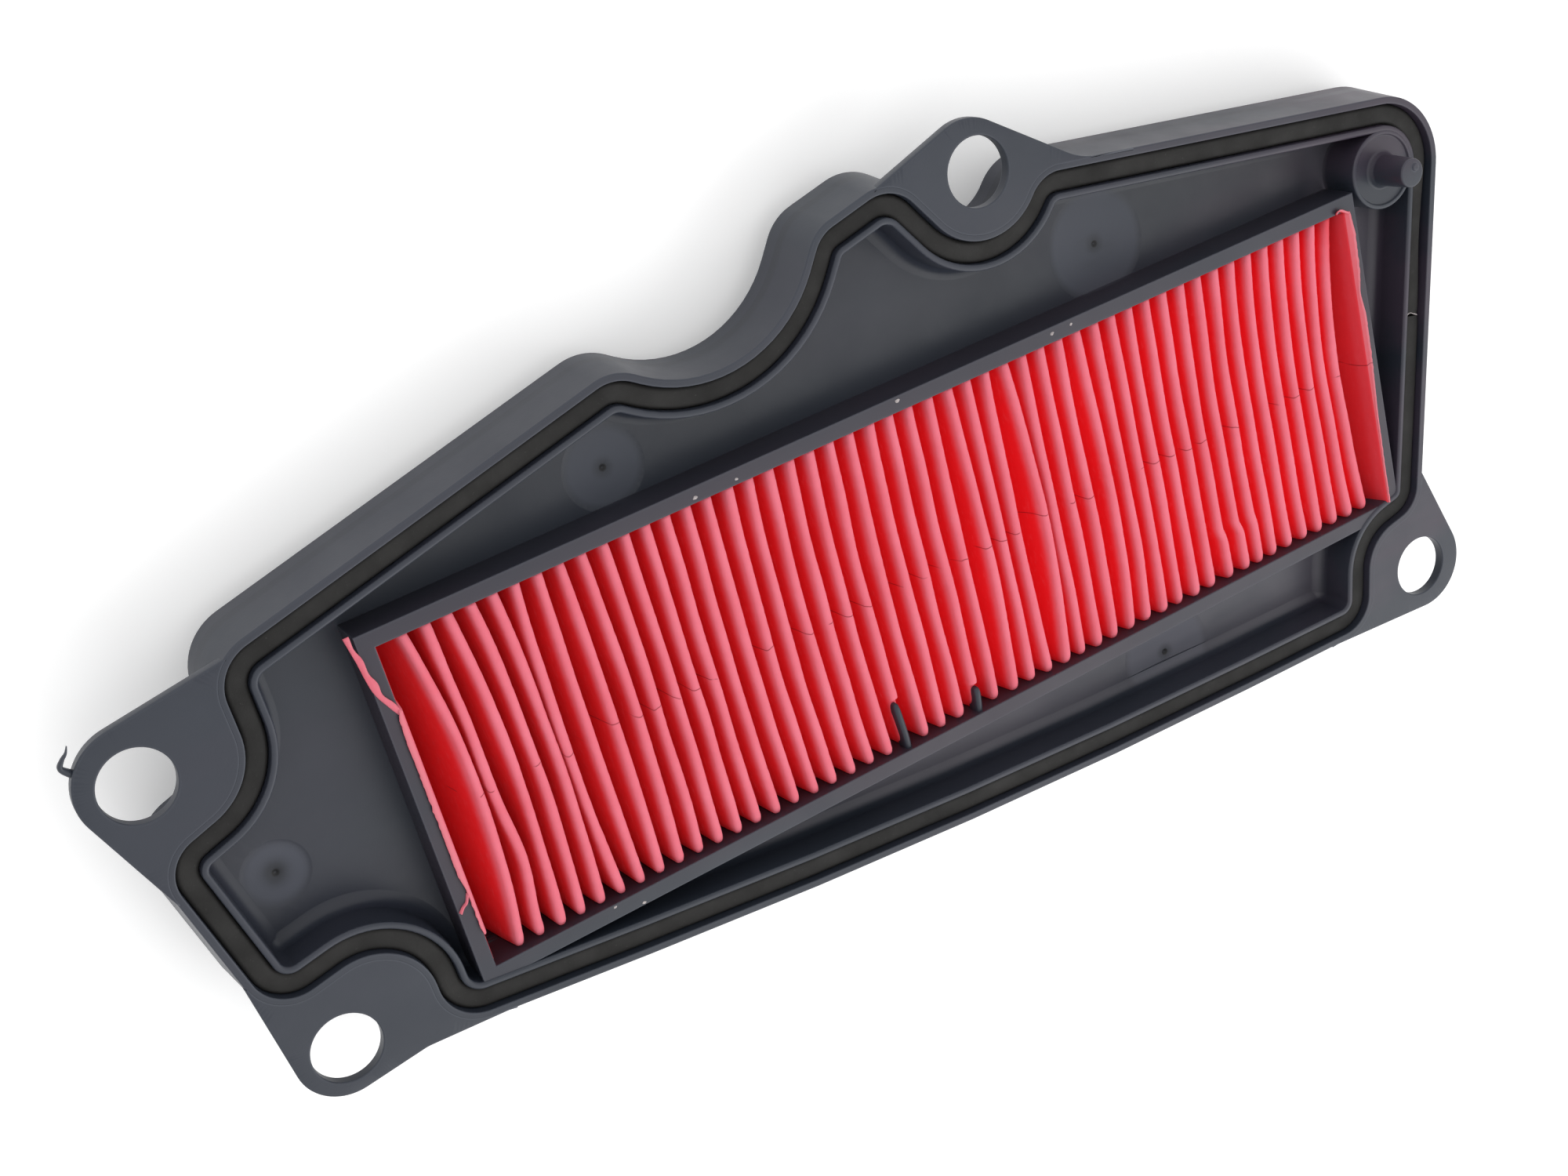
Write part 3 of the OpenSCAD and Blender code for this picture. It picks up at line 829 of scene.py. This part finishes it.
# Width of the sheet's ends over the end walls, in mm, at a few places along y
LEFT_FLAP = [(-26, 0), (-24.5, 0.25), (-16, 0.3), (-13, 0.75), (0, 0.75), (14, 0.8),
             (19, 0.65), (20.2, 0.2), (20.6, 0)]
RIGHT_FLAP = [(-33, 0.2), (-25, 0.2), (-12, 0.45), (0, 1.1), (10, 1.25), (15, 0.6), (20, 1.4),
              (28, 1.6), (31.5, 1.1), (32.5, 0.9)]
KINKS = {39: 0.7, 40: 0.9, 41: 0.4}      # creases bent near the lower wall, in mm


def smooth(t):
    t = min(1.0, max(0.0, t))
    return t * t * (3 - 2 * t)


def drawn(stations, k):
    """Value at crest k of a curve given at a few crests."""
    at, value = zip(*stations)
    return float(np.interp(k, at, value))


def crest_x(k, v):
    """Crest k's place along the window at v, from -1 at the lower wall to 1 at the upper."""
    ends = LOW_LEAN if v < 0 else HIGH_LEAN
    arch = 1 - v * v
    x = FIRST_CREST + k * PITCH + (1 - arch) * drawn(ends, k) + arch * drawn(BOWS, k)
    x += 0.22 * noise.noise(Vector((k * 1.7, v * 2.2, 7.0)))
    if k == PINCHED_CREST:
        x += 1.1 * math.exp(-((v + 0.5) / 0.28) ** 2)
    if k in KINKS:
        x += KINKS[k] * smooth((-0.62 - v) / 0.12)
    return x


def flap(stations, y):
    """How far the sheet's end lies over the cassette's wall at y."""
    at, width = zip(*stations)
    return float(np.interp(y, at, width))


def pleated_paper():
    rows_v = np.concatenate((np.linspace(-1, -0.90, 14)[:-1], np.linspace(-0.90, 1, 110)))
    left_x = WINDOW_OFFSET[0] - WIN_X + 0.1
    right_x = WINDOW_OFFSET[0] + WIN_X - 0.1
    rise = np.linspace(0, 1, 11)[1:-1]
    fold = np.radians(np.linspace(172, 0, 9))
    rings = []
    for v in rows_v:
        y = WINDOW_OFFSET[1] + v * (WIN_Y - 0.1)
        to_wall = (v + 1) * WIN_Y
        droop = 1 - math.sqrt(1 - (1 - min(1.0, to_wall / 2.6)) ** 2)
        crests = []
        for k in range(PLEATS):
            knuckle = 0.05 * noise.noise(Vector((k * 3.3, y * 0.9, 0.0)))
            z = (CREST_Z + knuckle + 0.30 * noise.noise(Vector((k * 1.9, v * 1.6, 4.0)))
                 - droop * (2.2 + 0.8 * noise.noise(Vector((k * 5.1, 0, 3.0)))))
            if k in TONGUES:
                z -= 1.5 * smooth(TONGUES[k] - to_wall + 0.8)
            half = FOLD_R * (1 + 0.25 * noise.noise(Vector((k * 3.1, v * 2.5, 2.0))))
            crests.append((crest_x(k, v) + 0.35 * droop, z, half * (1 - 0.45 * droop) + knuckle))
        torn = 0.22 * noise.noise(Vector((y * 0.9, 1.0, 0))) + 0.12 * noise.noise(
            Vector((y * 3.1, 2.0, 0)))
        over = flap(LEFT_FLAP, y)
        if over > 0:
            points = [(left_x - 0.15 - max(0.0, over + torn), COLLAR_Z + 0.34),
                      (left_x - 0.12, COLLAR_Z + 0.30), (left_x + 0.1, COLLAR_Z - 0.1)]
        else:
            points = [(left_x + 0.1, COLLAR_Z - drop) for drop in (2.6, 2.8, 3.0)]
        for k in range(PLEATS + 1):
            before = crests[k - 1][0] if k else left_x - 1.0
            after = crests[k][0] if k < PLEATS else right_x + 0.3
            low_x = (before + after) / 2
            bulge = 0.30 * noise.noise(Vector((k * 4.7, v * 1.5, 11.0)))
            x0, z0 = points[-1]
            for t in rise:
                points.append((x0 + (low_x - 0.35 - x0) * t ** 1.2 + bulge * math.sin(
                    math.pi * t), z0 + (VALLEY_Z + 0.35 - z0) * t))
            points += [(low_x + 0.35 * math.cos(a), VALLEY_Z + 0.35 + 0.35 * math.sin(a))
                       for a in (math.pi, 1.5 * math.pi, 2 * math.pi)]
            x0, z0 = points[-1]
            bulge = 0.35 * noise.noise(Vector((k * 4.7, v * 1.5, 17.0)))
            if k == PLEATS:
                for t in [*rise, 1]:
                    points.append((x0 + (right_x - x0) * t - 0.6 * math.sin(math.pi * t),
                                   z0 + (COLLAR_Z - z0) * t))
                over = max(0.1, flap(RIGHT_FLAP, y) - torn)
                points += [(right_x + 0.12, COLLAR_Z + 0.30),
                           (right_x + 0.15 + over * 0.75, COLLAR_Z + 0.30),
                           (right_x + 0.15 + over, COLLAR_Z + 0.75 + 0.3 * torn)]
                break
            x, z, half = crests[k]
            x1, z1 = x + half * math.cos(fold[0]), z - half + half * math.sin(fold[0])
            for t in rise:
                points.append((x0 + (x1 - x0) * t ** 1.45 + bulge * math.sin(math.pi * t),
                               z0 + (z1 - z0) * t))
            points += [(x + half * math.cos(a), z - half + half * math.sin(a)) for a in fold]
        rings.append([(x, y, z) for x, z in points])
    b = Builder()
    b.loft(rings, closed=False)
    sheet = b.make("pleated_paper", PAPER, sharp=180, replaces=["pleated_paper"])
    thick = sheet.modifiers.new("paper_thickness", "SOLIDIFY")
    thick.thickness = 0.3 * MM
    thick.offset = -1
    return sheet


# ---------------------------------------------------------------- small things
def along_path(path, spacing):
    """Points at even spacing on a smooth curve through the given points."""
    path = np.array(path, float)
    padded = np.vstack((2 * path[0] - path[1], path, 2 * path[-1] - path[-2]))
    fine = []
    for p0, p1, p2, p3 in zip(padded, padded[1:], padded[2:], padded[3:]):
        for t in np.linspace(0, 1, 24, endpoint=False):
            fine.append(0.5 * (2 * p1 + (p2 - p0) * t + (2 * p0 - 5 * p1 + 4 * p2 - p3) * t * t
                               + (3 * p1 - p0 - 3 * p2 + p3) * t ** 3))
    fine = np.array(fine + [path[-1]])
    length = np.concatenate(([0], np.cumsum(np.linalg.norm(np.diff(fine, axis=0), axis=1))))
    at = np.linspace(0, length[-1], max(4, int(length[-1] / spacing)))
    return np.column_stack([np.interp(at, length, fine[:, i]) for i in range(fine.shape[1])])


def torn_edge(name, path, foot_z, height, lean, material, seed):
    """Thin strip that stands on a path, with a torn upper edge that leans sideways."""
    points = along_path(path, 0.35)
    rows = []
    for i, (x, y) in enumerate(points):
        before, after = points[max(0, i - 1)], points[min(len(points) - 1, i + 1)]
        side = left(unit(after - before))
        rough = noise.noise(Vector((i * 0.13, seed, 0))) + 0.5 * noise.noise(
            Vector((i * 0.55, seed, 3.0)))
        tall = height * (1 + 0.45 * rough)
        over = lean * (1 + 0.8 * noise.noise(Vector((i * 0.09, seed, 8.0))))
        rows.append([(x + side[0] * over * t * t, y + side[1] * over * t * t, foot_z + tall * t)
                     for t in (0, 0.35, 0.7, 1)])
    b = Builder()
    b.loft(rows, closed=False)
    strip = b.make(name, material, sharp=180)
    thick = strip.modifiers.new("strip_thickness", "SOLIDIFY")
    thick.thickness = 0.22 * MM
    thick.offset = 0
    return strip


def paper_edges():
    """Torn strands of the sheet's ends that lie across the cassette's wall."""
    torn_edge("paper_strand_left", [(-111.7, 36.2), (-111.0, 31.5), (-110.2, 25.5),
              (-108.6, 21.8), (-107.4, 19.6)],
              COLLAR_Z, 0.45, 0.95, PAPER, 1.0)
    torn_edge("paper_curl_left", [(-107.5, -16.8), (-108.2, -18.4), (-109.0, -18.9),
              (-109.9, -19.8)],
              COLLAR_Z, 0.5, 0.4, PAPER, 2.0)
    torn_edge("paper_curl_right", [(105.4, 32.6), (106.1, 33.1), (107.2, 32.5), (108.3, 31.8)],
              COLLAR_Z, 0.8, 0.5, PAPER, 5.0)


def tapered_bar(b, path, widths, heights, spread=5):
    """Bar with a rounded top that follows a path of (x, y, z); z is its top."""
    rings = []
    for i, (x, y, z) in enumerate(path):
        before, after = np.array(path[max(0, i - 1)]), np.array(path[min(len(path) - 1, i + 1)])
        side = left(unit((after - before)[:2]))
        w, h = widths[i] / 2, heights[i]
        arc = [(w * math.cos(a), z - w + w * math.sin(a))
               for a in np.linspace(0, math.pi, spread)]
        ring = [(w, z - h)] + arc + [(-w, z - h)]
        rings.append([(x + side[0] * u, y + side[1] * u, v) for u, v in ring])
    rows = b.loft(rings)
    b.cap(rows[0][::-1])
    b.cap(rows[-1])


def tongues():
    """Tongues of plastic that have run from the lower wall over two of the folds."""
    b = Builder()
    wall_y = WINDOW_OFFSET[1] - WIN_Y
    top = CREST_Z + 0.3
    for k, reach in TONGUES.items():
        x = crest_x(k, -0.8)
        path, widths, heights = [], [], []
        for t in (0, 0.3, 0.6, 0.8, 0.9, 0.96, 1.0):
            end = math.sqrt(max(0.0, 1 - max(0.0, (t - 0.8) / 0.2) ** 2))
            sway = 0.25 * math.sin(3 * t + k)
            path.append((x + sway, wall_y - 0.5 + reach * t, top - 0.7 * (1 - end)))
            widths.append(1.45 * (0.35 + 0.65 * end))
            heights.append(3.0)
        tapered_bar(b, path, widths, heights)
    return b.make("plastic_tongues", PLASTIC, sharp=50)


def burr():
    """Curled whisker of flash left on the rim of the left upper ear."""
    path = along_path([(-158.6, 33.6, -0.5), (-159.9, 35.4, -0.3), (-159.2, 36.8, 0.0),
                       (-158.3, 37.6, -0.1), (-157.7, 38.7, -0.2)], 0.3)
    n = len(path)
    taper = [1 - 0.8 * (i / (n - 1)) ** 1.3 for i in range(n)]
    b = Builder()
    tapered_bar(b, [tuple(p) for p in path], [1.35 * t ** 1.3 for t in taper],
                [0.9 * t + 0.25 for t in taper])
    return b.make("moulding_burr", PLASTIC, sharp=50)


def specks():
    """Crumbs of paper fluff that cling to the cassette's top."""
    b = Builder()
    for i, (x, y, r) in enumerate(SPECKS):
        rings = []
        for u, v in ((1.0, 0.0), (0.85, 0.45), (0.45, 0.8), (0.05, 0.9)):
            ring = []
            for a in np.arange(14) * math.pi / 7:
                lump = 1 + 0.5 * noise.noise(Vector((math.cos(a) + i * 3.7, math.sin(a), u)))
                ring.append((x + 1.5 * r * u * lump * math.cos(a), y + r * u * lump * math.sin(a),
                             COLLAR_Z - 0.02 + r * v * 0.6))
            rings.append(ring)
        rows = b.loft(rings)
        b.cap(rows[-1])
        b.cap(rows[0][::-1])
    return b.make("paper_fluff", FLUFF, sharp=60)


def seal_fray():
    """Loose fibres where the cord's two ends meet."""
    torn_edge("seal_joint_fray", SEAL_FRAY, -1.9, 0.40, 0.10, FLUFF, 9.0)


# ---------------------------------------------------------------- studio
CAMERA_AT = (-167.6, 160.9, 320.0)
CAMERA_TURN = (-0.34748814, -0.44524855, -0.35214497)      # axis times angle
CAMERA_LENS = 47.53
FLOOR_HALF = 6.0


def studio():
    floor_mat = Nodes("studio_floor")
    tone = floor_mat.ramp(floor_mat.noise(3, 2), [(0.3, 0.90), (0.7, 0.92)])
    floor_mat.surface(Base_Color=tone, Roughness=0.9, Emission_Color=(1, 1, 1, 1),
                      Emission_Strength=0.22)
    floor_mat.mat.cycles.emission_sampling = "NONE"
    mesh = bpy.data.meshes.new("studio_floor")
    z = cad_bounds[0].z - 0.0002
    mesh.from_pydata([(-FLOOR_HALF, -FLOOR_HALF, z), (FLOOR_HALF, -FLOOR_HALF, z),
                      (FLOOR_HALF, FLOOR_HALF, z), (-FLOOR_HALF, FLOOR_HALF, z)],
                     [], [(0, 1, 2, 3)])
    floor = bpy.data.objects.new("studio_floor", mesh)
    floor.data.materials.append(floor_mat.mat)
    bpy.context.scene.collection.objects.link(floor)

    world = bpy.data.worlds.new("studio")
    bpy.context.scene.world = world
    world.use_nodes = True
    world.node_tree.nodes["Background"].inputs["Color"].default_value = (1, 1, 1, 1)
    world.node_tree.nodes["Background"].inputs["Strength"].default_value = 1.0

    def softbox(name, at, aim, size, power):
        light = bpy.data.lights.new(name, "AREA")
        light.shape = "RECTANGLE"
        light.size, light.size_y = size
        light.energy = power
        obj = bpy.data.objects.new(name, light)
        obj.location = at
        obj.rotation_euler = (Vector(aim) - Vector(at)).to_track_quat("-Z", "Y").to_euler()
        bpy.context.scene.collection.objects.link(obj)

    softbox("key_softbox", (0.75, -1.15, 1.1), (0, 0, 0), (2.0, 1.5), 14.0)


def camera():
    data = bpy.data.cameras.new("camera")
    data.sensor_width = 36
    data.lens = CAMERA_LENS
    data.clip_start = 0.01
    obj = bpy.data.objects.new("camera", data)
    obj.location = ORIGIN + Vector(CAMERA_AT) * MM
    turn = Vector(CAMERA_TURN)
    obj.rotation_mode = "QUATERNION"
    obj.rotation_quaternion = Matrix.Rotation(turn.length, 4, turn.normalized()).to_quaternion()
    bpy.context.scene.collection.objects.link(obj)
    bpy.context.scene.camera = obj


tub_wall()
for ear_name, ear_table in EARS.items():
    ear(ear_name, ear_table)
cassette()
boss_and_peg()
seal_cord()
pleated_paper()
paper_edges()
tongues()
burr()
specks()
seal_fray()
studio()
camera()
bpy.context.scene.view_settings.view_transform = "Standard"
bpy.context.scene.cycles.diffuse_bounces = 8
